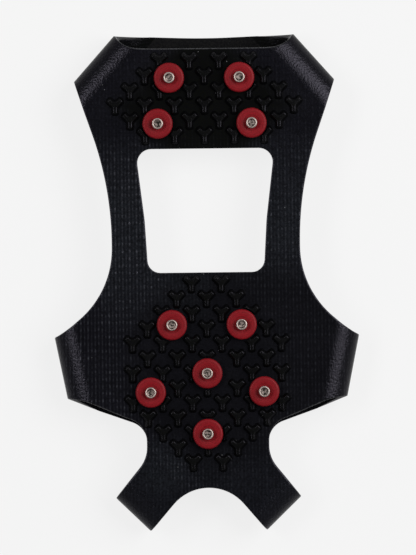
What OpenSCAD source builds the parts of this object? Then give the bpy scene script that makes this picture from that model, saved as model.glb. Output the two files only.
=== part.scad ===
// Slip-on ice cleat, lying flat with its studs up and its straps folded under the sole.
// X runs across the cleat, +Y towards the heel and +Z up, away from the floor.
// The origin is on the floor, below the middle of the cleat.

/* [Rubber sheet] */
// Thickness of the moulded rubber sheet
sheet_t = 3; // [2:0.1:4]
// Clear height between the sole and the straps folded under it
fold_gap = 12; // [9:0.5:16]

/* [Length, from heel to toe] */
// Heel flap, from its rear corner to its front corner
heel_flap_len = 20; // [16:0.1:24]
// Front corner of the heel flap to the rear edge of the window
heel_side_len = 29.3; // [26:0.1:36]
// Window in the sole
window_len = 53.3; // [40:0.1:70]
// Front edge of the window to the rear corner of the wing
shoulder_len = 26.9; // [23:0.1:34]
// Folded edge of the wing
wing_len = 26.9; // [20:0.1:34]
// Front corner of the wing to the rear corner of the leg
leg_len = 43.1; // [38:0.1:52]
// Folded edge of the leg
leg_tip_len = 14.5; // [11:0.1:18]

/* [Width, across both sides] */
// Heel across its rear corners
heel_rear_w = 77.2; // [70:0.2:84]
// Heel across its widest corners
heel_w = 112.6; // [100:0.2:124]
// Waist beside the window
waist_w = 81; // [74:0.2:90]
// Wings across their rear corners
wing_rear_w = 131.6; // [120:0.2:144]
// Wings across their front corners
wing_front_w = 120.8; // [110:0.2:130]
// Sole between the two side notches
notch_w = 52.6; // [46:0.1:56]
// Legs across their rear corners
leg_rear_w = 80; // [72:0.2:86]
// Legs across their front corners
leg_front_w = 50.2; // [44:0.2:54]

/* [Bends of the outline] */
// Bend of the waist, ahead of the rear edge of the window
waist_bend = 16.2; // [10:0.2:22]
// Radius of the waist
waist_round = 145; // [60:1:200]
// Bend of the flare, behind the rear corner of the wing
flare_bend = 15; // [10:0.2:20]
// Radius of the flare
flare_round = 40; // [20:1:60]
// Fall of the front edge of the wing, from its corner to the notch
wing_fall = 10; // [6:0.2:14]
// How much lower that edge runs on the saddle under the sole
saddle_fall = 3; // [0:0.1:5]
// Radius of the notch beside the wing
notch_rear_round = 14; // [8:0.5:18]
// Bend of the notch beside the leg, behind the rear corner of the leg
notch_bend = 16.8; // [12:0.2:20]
// Radius of the notch beside the leg
notch_front_round = 15; // [8:0.5:18]
// Depth to which the sides of the toe arch aim, behind the legs
arch_depth = 29.4; // [24:0.2:36]
// Radius of the toe arch
arch_round = 19.8; // [10:0.2:24]
// Inset of the rear edge of the heel pad from its rear corners
heel_edge_inset = 6.4; // [3:0.1:8]
// Straight rear edge of the heel pad
heel_edge_w = 55; // [46:0.5:62]
// Radius at the ends of that edge
heel_edge_round = 28; // [10:0.5:35]

/* [Window] */
// Width at the rear edge
window_rear_w = 59.8; // [52:0.2:64]
// Width at the waist
window_waist_w = 52.4; // [46:0.2:56]
// Width at the front edge
window_front_w = 49.8; // [44:0.2:54]
// Waist of the window, behind its front edge
window_waist = 22.6; // [18:0.1:28]
// Radius of the rear corners
window_rear_round = 6; // [3:0.2:9]
// Radius of the front corners
window_front_round = 5.5; // [3:0.1:8]
// Radius of the waist of the window
window_waist_round = 60; // [30:1:90]

/* [Straps and lower layer] */
// Flat stretch of a side or toe strap, from its fold to the pad
strap_flat = 14; // [10:0.2:16]
// Flat stretch of a heel strap, from its fold to the pad
heel_strap_flat = 5; // [3:0.1:7]
// Dip of the rear edge of the toe saddle at its middle
saddle_dip = 10; // [4:0.2:16]
// Radius of that edge
saddle_round = 300; // [150:5:360]
// Set of the rear edge of the heel band ahead of its corners
band_rear_inset = 1.5; // [0.5:0.1:4]
// Reach of the front edge of the heel band ahead of its corners
band_reach = 25; // [18:0.2:27]
// Radius of that edge
band_round = 90; // [50:1:110]
// Step along the fold of a wing between the free edges of its two layers
wing_edge_step = 1; // [0.5:0.1:2]
// Step along the fold of a heel flap between the free edges of its two layers
heel_edge_step = 1.6; // [0.5:0.1:2.4]

/* [Tread lugs] */
// Spacing of the lugs in a row
lug_pitch = 12.8; // [12:0.1:14]
// Width of the bars of a lug
lug_w = 2; // [1.4:0.1:2.6]
// Length of the stem of a lug
lug_stem = 3.3; // [2.6:0.1:3.8]
// Length of the two arms of a lug
lug_arm = 4; // [3:0.1:4.4]
// Height of the lugs
lug_h = 1.5; // [1:0.1:2.4]
// Middle of the heel lugs, ahead of the middle of the heel studs
heel_lug_set = 2.2; // [0:0.1:3]
// Bare ring of rubber left round a disc
disc_margin = 0.8; // [0.4:0.1:1.6]

/* [Studs] */
// Diameter of the plastic disc
disc_d = 13; // [11:0.1:15]
// Height of the disc
disc_h = 3; // [2:0.1:4]
// Bevel round the top of the disc
disc_bevel = 0.6; // [0.2:0.1:1]
// Diameter of the steel tip
tip_d = 4.8; // [4.4:0.1:6]
// Height of the tip above the disc
tip_h = 2.5; // [2:0.1:5]
// Diameter of the cup in the tip
cup_d = 3.3; // [2.4:0.1:3.6]
// Depth of the cup
cup_depth = 0.8; // [0.4:0.1:1.5]
// Diameter of the shank through the rubber
shank_d = 4; // [3:0.1:4.2]
// Diameter of the flat head on the foot side
head_d = 8; // [6.5:0.1:9]
// Thickness of the head
head_t = 1; // [0.6:0.1:1.2]
// Diameter of the backing washer
washer_d = 11; // [9.5:0.1:12]
// Thickness of the washer
washer_t = 0.6; // [0.4:0.1:0.8]
// Clearance round the shank and the washer, on the radius
fit = 0.1; // [0.05:0.05:0.2]

/* [Stud places] */
// Front heel studs, behind the rear edge of the window
heel_front_set = 10.8; // [10:0.1:14]
// Rear heel studs, behind the front ones
heel_rear_set = 19.7; // [16:0.1:22]
// Front heel studs, across
heel_front_spread = 40.4; // [34:0.2:44]
// Rear heel studs, across
heel_rear_spread = 30.2; // [24:0.2:34]
// Ball studs, ahead of the front edge of the window
ball_set = 22.5; // [18:0.1:24]
// Ball studs, across
ball_spread = 30; // [26:0.2:36]
// Middle stud, ahead of the ball studs
middle_set = 20.9; // [18:0.1:24]
// Outer studs, ahead of the middle stud
outer_set = 8; // [4:0.1:10]
// Outer studs, across
outer_spread = 48.8; // [42:0.2:52]
// Toe stud, ahead of the outer studs
toe_set = 18; // [15:0.1:21]

/* [Hidden] */
$fn = 48;
arc_steps = 8;
far = 400;
past = 4;
bite = 0.5;
rubber = [0.09, 0.09, 0.1];
red = [0.62, 0.11, 0.14];
steel = [0.74, 0.74, 0.74];

// Heights of the two layers and of the fold between them
fold_r = sheet_t + fold_gap / 2;
sole_z = sheet_t + fold_gap;
tread_z = sole_z + sheet_t;
strap_depth = fold_r + strap_flat;
heel_strap_depth = fold_r + heel_strap_flat;

// Places along the cleat, from the rear corners of the heel to the front of the legs
total_len = heel_flap_len + heel_side_len + window_len + shoulder_len + wing_len + leg_len + leg_tip_len;
heel_rear_y = total_len / 2;
heel_front_y = heel_rear_y - heel_flap_len;
window_rear_y = heel_front_y - heel_side_len;
window_front_y = window_rear_y - window_len;
wing_rear_y = window_front_y - shoulder_len;
wing_front_y = wing_rear_y - wing_len;
leg_rear_y = wing_front_y - leg_len;
leg_front_y = leg_rear_y - leg_tip_len;
notch_y = (wing_front_y - wing_fall + leg_rear_y + notch_bend) / 2;
rail_rear_y = window_rear_y - window_rear_round;
rail_front_y = window_front_y + window_front_round;

// Corners of the folded edges on the right side
heel_rear = [heel_rear_w / 2, heel_rear_y];
heel_front = [heel_w / 2, heel_front_y];
wing_rear = [wing_rear_w / 2, wing_rear_y];
wing_front = [wing_front_w / 2, wing_front_y];
leg_rear = [leg_rear_w / 2, leg_rear_y];
leg_front = [leg_front_w / 2, leg_front_y];

// The same corners where one layer ends a step along the fold from the other
heel_step = unit(heel_front - heel_rear) * heel_edge_step;
wing_step = unit(wing_front - wing_rear) * wing_edge_step;
pad_heel_rear = heel_rear + heel_step;
band_heel_front = heel_front - heel_step;
saddle_wing_rear = wing_rear + wing_step;
saddle_wing_front = wing_front + wing_step;

// Bends of the right side
heel_edge = [heel_edge_w / 2, heel_rear_y - heel_edge_inset];
waist = [waist_w / 2, window_rear_y - waist_bend];
flare = [waist_w / 2, wing_rear_y + flare_bend];
notch_rear = [notch_w / 2, wing_front_y - wing_fall];
saddle_notch = notch_rear - [0, saddle_fall];
notch_front = [notch_w / 2, leg_rear_y + notch_bend];
arch = [0, leg_front_y + arch_depth];
saddle_rear = [0, wing_rear_y - saddle_dip];
band_rear = [0, heel_rear_y - band_rear_inset];
band_front = [0, heel_front_y - band_reach];

// A folded corner runs on past the fold, along the free edge that comes from bend b
function unit(v) = v / norm(v);
function beyond(p, b) = p + unit(p - b) * past;
function at(p, r = 0) = [p[0], p[1], r];

sole_right = [
    at(heel_edge, heel_edge_round),
    at(beyond(pad_heel_rear, heel_edge)),
    at(beyond(heel_front, waist)),
    at(waist, waist_round),
    at(flare, flare_round),
    at(beyond(wing_rear, flare)),
    at(beyond(wing_front, notch_rear)),
    at(notch_rear, notch_rear_round),
    at(notch_front, notch_front_round),
    at(beyond(leg_rear, notch_front)),
    at(beyond(leg_front, arch)),
    at(arch, arch_round)
];
window_right = [
    [window_rear_w / 2, window_rear_y, window_rear_round],
    [window_waist_w / 2, window_front_y + window_waist, window_waist_round],
    [window_front_w / 2, window_front_y, window_front_round]
];
saddle_right = [
    at(saddle_rear, saddle_round),
    at(beyond(saddle_wing_rear, saddle_rear)),
    at(beyond(saddle_wing_front, saddle_notch)),
    at(saddle_notch, notch_rear_round),
    at(notch_front, notch_front_round),
    at(beyond(leg_rear, notch_front)),
    at(beyond(leg_front, arch)),
    at(arch, arch_round)
];
band_right = [
    at(band_rear, saddle_round),
    at(beyond(heel_rear, band_rear)),
    at(beyond(band_heel_front, band_front)),
    at(band_front, band_round)
];

// Each kind of strap: name, folded edge from rear to front, depth, and the stretch of length it keeps to
strap_kinds = [
    ["heel_strap", heel_rear, heel_front, heel_strap_depth, window_rear_y, far],
    ["side_strap", wing_rear, wing_front, strap_depth, saddle_notch[1], window_front_y],
    ["toe_strap", leg_rear, leg_front, strap_depth, -far, notch_y]
];
sides = [["left", -1], ["right", 1]];

// Studs: name and place
heel_front_stud_y = window_rear_y + heel_front_set;
heel_rear_stud_y = heel_front_stud_y + heel_rear_set;
ball_stud_y = window_front_y - ball_set;
middle_stud_y = ball_stud_y - middle_set;
outer_stud_y = middle_stud_y - outer_set;
toe_stud_y = outer_stud_y - toe_set;
heel_studs = concat(
    [for (s = sides) [str("heel_rear_", s[0]), [s[1] * heel_rear_spread / 2, heel_rear_stud_y]]],
    [for (s = sides) [str("heel_front_", s[0]), [s[1] * heel_front_spread / 2, heel_front_stud_y]]]
);
forefoot_studs = concat(
    [for (s = sides) [str("ball_", s[0]), [s[1] * ball_spread / 2, ball_stud_y]]],
    [["middle", [0, middle_stud_y]]],
    [for (s = sides) [str("outer_", s[0]), [s[1] * outer_spread / 2, outer_stud_y]]],
    [["toe", [0, toe_stud_y]]]
);
studs = concat(heel_studs, forefoot_studs);

// Heights in a stud, from its head on the foot side to its tip
washer_z = sole_z + head_t;
seat_z = washer_z + washer_t;
disc_top_z = tread_z + disc_h;
tip_z = disc_top_z + tip_h;

// Lugs stand on a diamond lattice that narrows towards its ends
lug_step = lug_pitch / 2;
heel_lattice_y = (heel_front_stud_y + heel_rear_stud_y) / 2 - heel_lug_set;
heel_rows_ahead = 2;
heel_rows_behind = 3;
heel_reach = 6;
forefoot_rows = 6;
forefoot_columns = 5;
forefoot_reach = 7;
heel_lugs = [
    for (k = [-heel_rows_ahead:heel_rows_behind])
        for (i = [-heel_reach:heel_reach])
            if ((i + k) % 2 == 0 && abs(i) <= heel_reach - abs(k))
                [i * lug_step, heel_lattice_y + k * lug_step]
];
forefoot_lugs = [
    for (k = [-forefoot_rows:forefoot_rows])
        for (i = [-forefoot_columns:forefoot_columns])
            if ((i + k) % 2 != 0 && abs(i) <= forefoot_reach - abs(k))
                [i * lug_step, middle_stud_y + k * lug_step]
];

// Rounded corner at b between a and c, limited by the length of its two edges
function room(edge, next_r) = edge * (next_r > 0 ? 0.495 : 0.95);
function corner(a, b, c) =
    let (
        u = unit([a[0] - b[0], a[1] - b[1]]),
        v = unit([c[0] - b[0], c[1] - b[1]]),
        half = acos(u * v) / 2,
        edge_a = norm([a[0] - b[0], a[1] - b[1]]),
        edge_c = norm([c[0] - b[0], c[1] - b[1]]),
        reach = min(b[2] / tan(half), room(edge_a, a[2]), room(edge_c, c[2])),
        r = reach * tan(half),
        middle = [b[0], b[1]] + unit(u + v) * r / sin(half),
        from = [b[0], b[1]] + u * reach - middle,
        to = [b[0], b[1]] + v * reach - middle,
        start = atan2(from[1], from[0]),
        turn = atan2(from[0] * to[1] - from[1] * to[0], from * to)
    )
    b[2] == 0 ? [[b[0], b[1]]]
        : [
            for (i = [0:arc_steps])
                let (angle = start + turn * i / arc_steps)
                middle + r * [cos(angle), sin(angle)]
        ];

// Closed outline from its right half: points off the axis are repeated on the left
function mirrored(p) = concat(p, [
    for (i = [len(p) - 1:-1:0])
        if (p[i][0] > 0) [-p[i][0], p[i][1], p[i][2]]
]);
function rounded(p) = [
    for (i = [0:len(p) - 1])
        each corner(p[(i + len(p) - 1) % len(p)], p[i], p[(i + 1) % len(p)])
];

module outline(right_half) {
    polygon(rounded(mirrored(right_half)));
}

// Plan of the sole layer
module sole_plan() {
    difference() {
        outline(sole_right);
        outline(window_right);
    }
}

// Ground that one strap covers in plan, on either side
module strap_zone(kind, side) {
    edge = kind[2] - kind[1];
    mirror([side < 0 ? 1 : 0, 0])
        intersection() {
            translate(kind[1])
                rotate(atan2(edge[1], edge[0]) + 90)
                    translate([-kind[3], -far])
                        square([far, 2 * far]);
            translate([0, kind[4]])
                square([far, kind[5] - kind[4]]);
        }
}

module all_strap_zones() {
    for (s = sides)
        for (k = strap_kinds)
            strap_zone(k, s[1]);
}

// Band across the cleat between two places along it
module stretch(from_y, to_y) {
    translate([-far, from_y])
        square([2 * far, to_y - from_y]);
}

// Section of a strap: two flat layers joined by a half round fold, x outwards from the folded edge
module strap_section(depth) {
    difference() {
        union() {
            translate([-fold_r, fold_r])
                circle(fold_r);
            translate([-depth, 0])
                square([depth - fold_r, 2 * fold_r]);
        }
        translate([-fold_r, fold_r])
            circle(fold_gap / 2);
        translate([-depth - past, sheet_t])
            square([depth - fold_r + past, fold_gap]);
    }
}

module strap(kind, side) {
    edge = kind[2] - kind[1];
    color(rubber)
        intersection() {
            mirror([side < 0 ? 1 : 0, 0, 0])
                translate(kind[1])
                    rotate([90, 0, atan2(edge[1], edge[0]) + 90])
                        linear_extrude(far, center = true)
                            strap_section(kind[3]);
            union() {
                translate([0, 0, fold_r])
                    linear_extrude(fold_r)
                        intersection() {
                            sole_plan();
                            strap_zone(kind, side);
                        }
                linear_extrude(fold_r)
                    intersection() {
                        if (kind[0] == "heel_strap") outline(band_right);
                        else outline(saddle_right);
                        strap_zone(kind, side);
                    }
            }
        }
}

// Lug shaped like a Y: its stem points to the toe and its arms to the heel
module lug() {
    angles = [-90, 45, 135];
    lengths = [lug_stem, lug_arm, lug_arm];
    polygon([
        for (i = [0:2])
            let (
                a = angles[i],
                gap = (angles[(i + 1) % 3] - a + 360) % 360,
                along = [cos(a), sin(a)],
                across = [-sin(a), cos(a)],
                crotch = lug_w / 2 / sin(gap / 2)
            )
            each [
                along * lengths[i] - across * lug_w / 2,
                along * lengths[i] + across * lug_w / 2,
                crotch * [cos(a + gap / 2), sin(a + gap / 2)]
            ]
    ]);
}

// One stretch of the sole with its lugs and the seats of its studs
module pad(from_y, to_y, lugs, pad_studs) {
    color(rubber)
        difference() {
            union() {
                translate([0, 0, sole_z])
                    linear_extrude(sheet_t)
                        pad_plan(from_y, to_y);
                translate([0, 0, tread_z - bite])
                    linear_extrude(lug_h + bite)
                        difference() {
                            intersection() {
                                pad_plan(from_y, to_y);
                                for (p = lugs)
                                    translate(p)
                                        lug();
                            }
                            for (t = pad_studs)
                                translate(t[1])
                                    circle(disc_d / 2 + disc_margin);
                        }
            }
            for (t = pad_studs)
                translate(t[1]) {
                    translate([0, 0, sole_z - past])
                        cylinder(d = shank_d + 2 * fit, h = sheet_t + 2 * past);
                    translate([0, 0, sole_z - past])
                        cylinder(d = washer_d + 2 * fit, h = seat_z - sole_z + past);
                }
        }
}

module pad_plan(from_y, to_y) {
    difference() {
        intersection() {
            sole_plan();
            stretch(from_y, to_y);
        }
        all_strap_zones();
    }
}

module forefoot_pad() {
    pad(-far, rail_front_y, forefoot_lugs, forefoot_studs);
}

module heel_pad() {
    pad(rail_rear_y, far, heel_lugs, heel_studs);
}

// Strip of the sole beside the window
module rail(side) {
    color(rubber)
        translate([0, 0, sole_z])
            linear_extrude(sheet_t)
                intersection() {
                    sole_plan();
                    stretch(rail_front_y, rail_rear_y);
                    mirror([side < 0 ? 1 : 0, 0])
                        translate([0, -far])
                            square(2 * far);
                }
}

// Part of the upper that covers the toes of the shoe
module toe_saddle() {
    color(rubber)
        linear_extrude(sheet_t)
            difference() {
                outline(saddle_right);
                all_strap_zones();
            }
}

// Part of the upper that grips the heel of the shoe
module heel_band() {
    color(rubber)
        linear_extrude(sheet_t)
            difference() {
                outline(band_right);
                all_strap_zones();
            }
}

// Red plastic disc that seats a stud on the tread
module stud_disc(place) {
    r = disc_d / 2;
    bore_r = shank_d / 2 + fit;
    color(red)
        translate([place[0], place[1], tread_z])
            rotate_extrude()
                polygon([
                    [bore_r, 0],
                    [r, 0],
                    [r, disc_h - disc_bevel],
                    [r - disc_bevel, disc_h],
                    [bore_r, disc_h]
                ]);
}

// Riveted steel stud: flat head, shank and cupped tip
module steel_stud(place) {
    tip_r = tip_d / 2;
    color(steel)
        translate([place[0], place[1], 0])
            rotate_extrude()
                polygon([
                    [0, sole_z],
                    [head_d / 2, sole_z],
                    [head_d / 2, washer_z],
                    [shank_d / 2, washer_z],
                    [shank_d / 2, disc_top_z],
                    [tip_r, disc_top_z],
                    [tip_r, tip_z],
                    [cup_d / 2, tip_z],
                    [cup_d / 2, tip_z - cup_depth],
                    [0, tip_z - cup_depth]
                ]);
}

// Steel washer that spreads the pull of a stud on the foot side
module backing_washer(place) {
    color(steel)
        translate([place[0], place[1], washer_z])
            difference() {
                cylinder(d = washer_d, h = washer_t);
                translate([0, 0, -past])
                    cylinder(d = shank_d + 2 * fit, h = washer_t + 2 * past);
            }
}

forefoot_pad();
heel_pad();
toe_saddle();
heel_band();
for (s = sides) {
    rail(s[1]);
    for (k = strap_kinds)
        strap(k, s[1]);
}
for (t = studs) {
    stud_disc(t[1]);
    steel_stud(t[1]);
    backing_washer(t[1]);
}
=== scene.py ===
import math

import bmesh
import bpy
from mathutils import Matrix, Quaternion, Vector, kdtree
from mathutils.geometry import delaunay_2d_cdt


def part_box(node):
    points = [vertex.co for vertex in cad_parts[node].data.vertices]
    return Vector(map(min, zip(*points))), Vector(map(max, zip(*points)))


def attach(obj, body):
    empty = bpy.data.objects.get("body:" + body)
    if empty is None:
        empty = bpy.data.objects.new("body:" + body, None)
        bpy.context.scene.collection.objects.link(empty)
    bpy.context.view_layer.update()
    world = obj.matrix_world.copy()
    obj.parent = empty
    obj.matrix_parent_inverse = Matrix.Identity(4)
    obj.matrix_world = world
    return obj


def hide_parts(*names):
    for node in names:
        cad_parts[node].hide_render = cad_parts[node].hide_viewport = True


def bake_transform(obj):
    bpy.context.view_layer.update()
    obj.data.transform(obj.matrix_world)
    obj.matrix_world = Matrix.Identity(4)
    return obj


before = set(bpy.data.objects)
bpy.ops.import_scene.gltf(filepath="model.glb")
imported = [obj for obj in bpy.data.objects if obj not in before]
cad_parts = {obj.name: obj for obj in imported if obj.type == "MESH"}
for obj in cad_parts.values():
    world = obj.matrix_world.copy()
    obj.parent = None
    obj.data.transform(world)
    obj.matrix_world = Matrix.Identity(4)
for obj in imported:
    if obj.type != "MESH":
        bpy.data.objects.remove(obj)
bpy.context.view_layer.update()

# The view
# The cleat lies on a pale table, studs up, and the camera looks straight down on it from far
# above, turned a little so that the heel leans to the left of the picture.
MM = 0.001
PICTURE_HEIGHT = 555
MM_PER_PIXEL = 0.43
CAMERA_HEIGHT = 2.5
CAMERA_PLACE = (0.75 * MM, 2.2 * MM)
CAMERA_TURN = -0.65
SENSOR = 36
tread_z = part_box("left_rail")[1].z

scene = bpy.context.scene
scene.view_settings.view_transform = "Standard"


def placed(name, data):
    """Puts a mesh, a camera or a light into the scene as an object."""
    made = bpy.data.objects.new(name, data)
    scene.collection.objects.link(made)
    return made


camera = placed("camera", bpy.data.cameras.new("camera"))
camera.data.sensor_width = SENSOR
camera.data.lens = SENSOR * CAMERA_HEIGHT / (PICTURE_HEIGHT * MM_PER_PIXEL * MM)
camera.location = (*CAMERA_PLACE, tread_z + CAMERA_HEIGHT)
camera.rotation_euler = (0, 0, math.radians(CAMERA_TURN))
scene.camera = camera


# The table and the light
# A wide matt table top, pale grey to the eye and dimmer in reflections. A soft box hangs low on either
# side, the right one larger and rolled, with nothing overhead, so that only the folds catch the light.
HALF_TABLE = 3
TABLE_DROP = 0.2 * MM
TABLE_GREY = (0.905, 0.905, 0.905, 1)
TABLE_SHADE_KEPT = 0.1
TABLE_MIRRORED = 0.6
SKY_OVERHEAD = 0.04
SKY_LOW = 0.22
SKY_BETWEEN = (0.6, 0.95)
BOX_AWAY = 1.2
SOFT_BOXES = [
    {"side": -1, "from_top": 39, "to_heel": 17, "size": (0.75, 0.38), "roll": 0, "power": 6.4},
    {"side": 1, "from_top": 43.5, "to_heel": 20, "size": (0.9, 0.78), "roll": 30, "power": 13.8},
]


def add(tree, kind, values=None, **settings):
    """Adds a node. A value that is a socket, or a node, which stands for its first output, is linked, and
    any other is set."""
    made = tree.nodes.new(kind)
    for name, setting in settings.items():
        setattr(made, name, setting)
    for key, value in (values or {}).items():
        if isinstance(value, bpy.types.Node):
            value = value.outputs[0]
        if isinstance(value, bpy.types.NodeSocket):
            tree.links.new(value, made.inputs[key])
        else:
            made.inputs[key].default_value = value
    return made


def math_node(tree, operation, first, second=0.0):
    """The result of one sum, whose parts are sockets or numbers."""
    return add(tree, "ShaderNodeMath", {0: first, 1: second}, operation=operation).outputs[0]


def ranged(tree, value, start, end, low=0.0, high=1.0, **settings):
    """A value that runs from start to end while another runs from low to high."""
    limits = {"Value": value, "From Min": low, "From Max": high, "To Min": start, "To Max": end}
    return add(tree, "ShaderNodeMapRange", limits, **settings).outputs[0]


table_corners = [(-HALF_TABLE, -HALF_TABLE), (HALF_TABLE, -HALF_TABLE), (HALF_TABLE, HALF_TABLE),
                 (-HALF_TABLE, HALF_TABLE)]
table_mesh = bpy.data.meshes.new("table")
table_mesh.from_pydata([(x, y, -TABLE_DROP) for x, y in table_corners], [], [(0, 1, 2, 3)])
table = placed("table", table_mesh)

table_finish = bpy.data.materials.new("table_top")
table_finish.use_nodes = True
tree = table_finish.node_tree
tree.nodes.clear()
rays = add(tree, "ShaderNodeLightPath")
seen = math_node(tree, "MAXIMUM", rays.outputs["Is Camera Ray"], rays.outputs["Is Glossy Ray"])
dimmed = ranged(tree, rays.outputs["Is Glossy Ray"], 1, TABLE_MIRRORED)
pale = math_node(tree, "MULTIPLY", seen, 1 - TABLE_SHADE_KEPT)
matt = add(tree, "ShaderNodeBsdfDiffuse", {"Color": TABLE_GREY})
glow = add(tree, "ShaderNodeEmission", {"Color": TABLE_GREY, "Strength": dimmed})
mixed = add(tree, "ShaderNodeMixShader", {0: pale, 1: matt, 2: glow})
add(tree, "ShaderNodeOutputMaterial", {"Surface": mixed})
table_mesh.materials.append(table_finish)

for number, box in enumerate(SOFT_BOXES):
    light = bpy.data.lights.new(f"soft_box_{number}", "AREA")
    light.shape = "RECTANGLE"
    light.size, light.size_y = box["size"]
    light.energy = box["power"]
    tilt, turn = math.radians(box["from_top"]), math.radians(box["to_heel"])
    way = Vector((box["side"] * math.sin(tilt) * math.cos(turn), math.sin(tilt) * math.sin(turn),
                  math.cos(tilt)))
    lamp = placed(light.name, light)
    lamp.location = way * BOX_AWAY
    rolled = Quaternion((0, 0, 1), math.radians(box["roll"]))
    lamp.rotation_euler = ((-way).to_track_quat("-Z", "Y") @ rolled).to_euler()

sky = bpy.data.worlds.new("studio")
scene.world = sky
sky.use_nodes = True
tree = sky.node_tree
tree.nodes.clear()
way = add(tree, "ShaderNodeTexCoord")
height = add(tree, "ShaderNodeSeparateXYZ", {0: way.outputs["Generated"]})
level = ranged(tree, height.outputs["Z"], SKY_LOW, SKY_OVERHEAD, *SKY_BETWEEN)
room = add(tree, "ShaderNodeBackground", {"Color": (1, 1, 1, 1), "Strength": level})
backdrop = add(tree, "ShaderNodeBackground", {"Color": TABLE_GREY})
rays = add(tree, "ShaderNodeLightPath")
view = add(tree, "ShaderNodeMixShader", {0: rays.outputs["Is Camera Ray"], 1: room, 2: backdrop})
add(tree, "ShaderNodeOutputWorld", {"Surface": view})


# The rubber
# One black compound with a violet sheen, pressed in a steel mould that leaves knotted ribs and a grain,
# which opens in the bends. It is blacker and duller on the tread, and paler where it is stretched. A
# highlight is painted along the ribs and some edge roundings, and painted shade on the lug flanks.
RIB_PITCH = 1.525 * MM
KNOT_PITCH = 3.05 * MM
RIB_WIDTH = 1.0 * MM
KNOT_LENGTH = 2.2 * MM
RIB_HEIGHT = 0.05 * MM
PLAIN_RIB = 0.22
FAINT_RIB = 0.6
LEAST_KNOT = 0.1
GRAIN_HEIGHT = 0.2 * MM
GRAIN_SIZE = 0.8
PORE_DEPTH = 0.75
PORE_EDGE = (0.35, 0.65)
FLAT_GRAIN = 0.4
TREAD_GRAIN = 0.3
RUBBER_DARK = (0.0034, 0.0033, 0.0050, 1)
RUBBER_PALE = (0.0058, 0.0058, 0.0086, 1)
TREAD_DARK = (0.0020, 0.0022, 0.0016, 1)
TREAD_PALE = (0.0038, 0.0041, 0.0034, 1)
STRETCHED = (0.0086, 0.0098, 0.0124, 1)
# Painted highlight: the colour that the ribs and knots are mixed towards
RIB_PAINTED_HIGHLIGHT = (0.040, 0.042, 0.050, 1)
# Painted highlight for the marked edge roundings
RIM_PAINTED_HIGHLIGHT = (0.055, 0.056, 0.06, 1)
SHEEN_TINT = (0.87, 0.82, 1, 1)
PORE = (0.0024, 0.0024, 0.0030, 1)
# Painted shade for the flanks of the lugs
FLANK_PAINTED_SHADE = (0.0010, 0.0010, 0.0010, 1)
DUST = (0.11, 0.11, 0.115, 1)
SPECK_EDGE = (0.02, 0.045)
SPECK_RARE = 0.6
SHEET_SHINE = 0.19
TREAD_SHINE = 0.07
DULL_FROM = 0.3
PLAIN_SHINE = 0.14
SHEET_ROUGH = (0.18, 0.24)
PLAIN_ROUGH = (0.22, 0.28)
CLOUD_SPAN = (0.3, 0.7)


def new_group(name, inputs, outputs):
    """Starts a shader node group with float inputs and float outputs."""
    group = bpy.data.node_groups.new(name, "ShaderNodeTree")
    for label, start in inputs:
        socket = group.interface.new_socket(label, in_out="INPUT", socket_type="NodeSocketFloat")
        socket.default_value = start
    for label in outputs:
        group.interface.new_socket(label, in_out="OUTPUT", socket_type="NodeSocketFloat")
    return group, add(group, "NodeGroupInput"), add(group, "NodeGroupOutput")


# Grain, slow cloudiness and rare specks of dust, all by place on the object, sizes in millimetres
surface_group, given, out = new_group(
    "moulded_surface", [("Grain size", 0.35), ("Cloud size", 16), ("Speck size", 6)],
    ["Grain", "Cloud", "Speck"])
tree = surface_group
where = add(tree, "ShaderNodeTexCoord")
in_mm = add(tree, "ShaderNodeVectorMath", {0: where.outputs["Object"], "Scale": 1 / MM}, operation="SCALE")


def per_size(label):
    """Turns a size in millimetres into a texture scale."""
    return math_node(tree, "DIVIDE", 1.0, given.outputs[label])


grain = add(tree, "ShaderNodeTexNoise", {"Vector": in_mm, "Scale": per_size("Grain size"), "Detail": 3})
cloud = add(tree, "ShaderNodeTexNoise", {"Vector": in_mm, "Scale": per_size("Cloud size"), "Detail": 4})
speck = add(tree, "ShaderNodeTexVoronoi", {"Vector": in_mm, "Scale": per_size("Speck size")})
speck_near = ranged(tree, speck.outputs["Distance"], 1, 0, *SPECK_EDGE)
speck_kind = add(tree, "ShaderNodeSeparateColor", {0: speck.outputs["Color"]})
speck_kept = math_node(tree, "GREATER_THAN", speck_kind, SPECK_RARE)
speck_mask = math_node(tree, "MULTIPLY", speck_near, speck_kept)
tree.links.new(grain.outputs["Fac"], out.inputs["Grain"])
tree.links.new(cloud.outputs["Fac"], out.inputs["Cloud"])
tree.links.new(speck_mask, out.inputs["Speck"])


def new_finish(name):
    """Starts a material and returns it with its tree and its Principled shader."""
    made = bpy.data.materials.new(name)
    made.use_nodes = True
    return made, made.node_tree, made.node_tree.nodes["Principled BSDF"]


def mix_colour(tree, share, first, second):
    """Mixes two colours, each a socket or a plain colour, by a share. On a Mix node the inputs 6 and 7
    and the output 2 are those for colours."""
    return add(tree, "ShaderNodeMix", {0: share, 6: first, 7: second}, data_type="RGBA").outputs[2]


def attribute(tree, name):
    """The value that a mesh carries under a name."""
    return add(tree, "ShaderNodeAttribute", attribute_name=name).outputs["Fac"]


def dress(tree, shader, colour, rough, bump):
    """Gives a shader its colour, its roughness and its bump."""
    for label, socket in (("Base Color", colour), ("Roughness", rough), ("Normal", bump.outputs[0])):
        tree.links.new(socket, shader.inputs[label])


def hump(tree, place, width):
    """A soft hump of a width, both in shares of a cell, at the middle of the cell."""
    far = math_node(tree, "ABSOLUTE", math_node(tree, "SUBTRACT", place, 0.5))
    return ranged(tree, far, 1, 0, 0, width / 2, interpolation_type="SMOOTHSTEP")


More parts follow.
